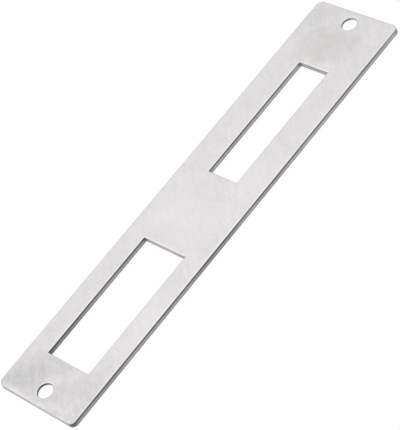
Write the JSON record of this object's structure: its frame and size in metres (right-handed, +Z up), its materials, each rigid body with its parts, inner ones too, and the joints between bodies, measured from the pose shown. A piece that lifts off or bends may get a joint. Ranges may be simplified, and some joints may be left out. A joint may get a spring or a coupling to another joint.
{
  "type": "door strike plate",
  "caption": "Flat steel strike plate for a door frame, with a wide latch opening, a narrower bolt opening and countersunk screw holes at both ends.",
  "frame": {"origin": "centre of the plate's underside, which is its countersunk side", "axes": "+Y along the plate from the latch end to the bolt end, +X across it, +Z up through its thickness"},
  "size_m": [0.034, 0.17, 0.002],
  "materials": {
    "plate": "fine satin brushed face, with darker cut edges"
  },
  "bodies": {
    "root": {"strike_plate": "plate"}
  },
  "joints": []
}
